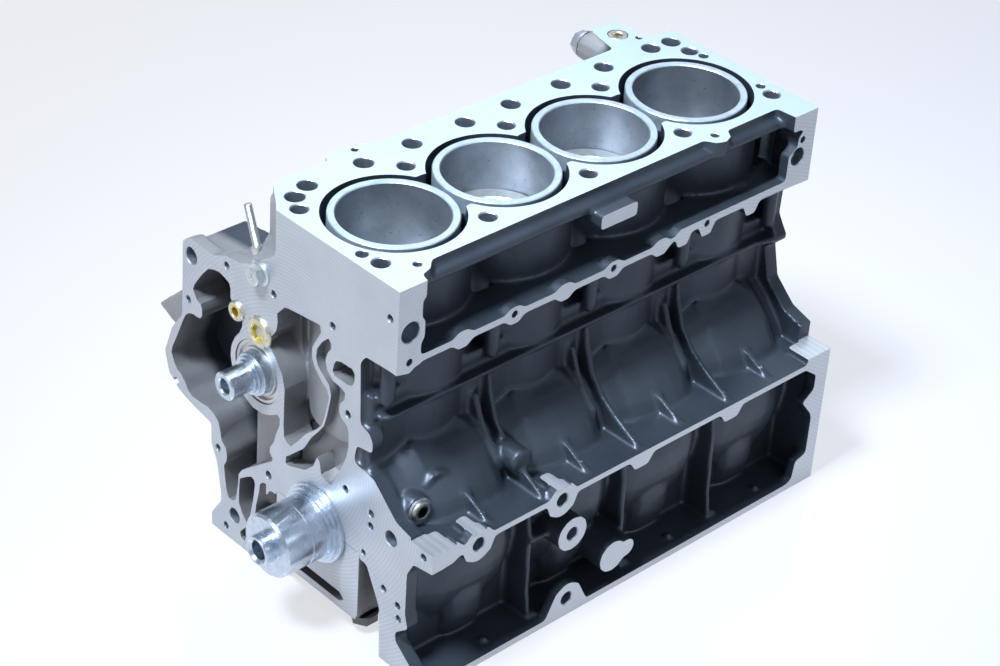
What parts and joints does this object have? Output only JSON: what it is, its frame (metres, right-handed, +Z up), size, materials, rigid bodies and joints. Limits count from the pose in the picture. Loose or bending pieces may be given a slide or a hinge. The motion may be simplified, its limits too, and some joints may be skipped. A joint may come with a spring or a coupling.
{
  "type": "engine short block",
  "caption": "In-line engine short block: cylinder block with open-deck wet liners, pistons, crankshaft, main bearing caps and a side balance shaft.",
  "frame": {"origin": "crankshaft axis where it leaves the machined front face", "axes": "+X along the crankshaft from the front face to the rear, +Y towards the balance shaft side, +Z up towards the deck"},
  "size_m": [0.497, 0.357, 0.33],
  "materials": {
    "block_casting": "satin casting, machined faces",
    "liner": "honed",
    "piston": "turned",
    "shaft_steel": "turned and ground",
    "cap_iron": "machined",
    "bolt_steel": "zinc plated",
    "yellow_zinc": "yellow zinc plated"
  },
  "bodies": {
    "block": {"cylinder_block": "block_casting", "cylinder_liner_1": "liner", "cylinder_liner_2": "liner", "cylinder_liner_3": "liner", "cylinder_liner_4": "liner", "main_bearing_cap_1": "cap_iron", "main_bearing_cap_2": "cap_iron", "main_bearing_cap_3": "cap_iron", "main_bearing_cap_4": "cap_iron", "main_bearing_cap_5": "cap_iron", "cap_bolts": "bolt_steel", "shaft_bearing_rings": "shaft_steel", "oil_way_plugs": "yellow_zinc", "zinc_fasteners": "bolt_steel", "side_plug": "bolt_steel"},
    "crank": {"crankshaft": "shaft_steel"},
    "balancer": {"balance_shaft": "shaft_steel"},
    "piston_one": {"piston_1": "piston"},
    "piston_two": {"piston_2": "piston"},
    "piston_three": {"piston_3": "piston"},
    "piston_four": {"piston_4": "piston"}
  },
  "joints": [
    {"name": "crank_spin", "type": "hinge", "parent": "block", "child": "crank", "pos_m": [0, 0, 0], "axis": [1, 0, 0], "continuous": true},
    {"name": "balancer_spin", "type": "hinge", "parent": "block", "child": "balancer", "pos_m": [0, 0.0738, 0.0956], "axis": [1, 0, 0], "continuous": true},
    {"name": "piston_1_slide", "type": "slide", "parent": "block", "child": "piston_one", "axis": [0, 0, 1], "range_m": [-0.027, 0.0668]},
    {"name": "piston_2_slide", "type": "slide", "parent": "block", "child": "piston_two", "axis": [0, 0, 1], "range_m": [-0.0528, 0.041]},
    {"name": "piston_3_slide", "type": "slide", "parent": "block", "child": "piston_three", "axis": [0, 0, 1], "range_m": [-0.0528, 0.041]},
    {"name": "piston_4_slide", "type": "slide", "parent": "block", "child": "piston_four", "axis": [0, 0, 1], "range_m": [-0.027, 0.0668]}
  ],
  "couplings": [
    {"joint": "piston_4_slide", "follows": "piston_1_slide", "ratio": 1},
    {"joint": "piston_3_slide", "follows": "piston_2_slide", "ratio": 1}
  ]
}
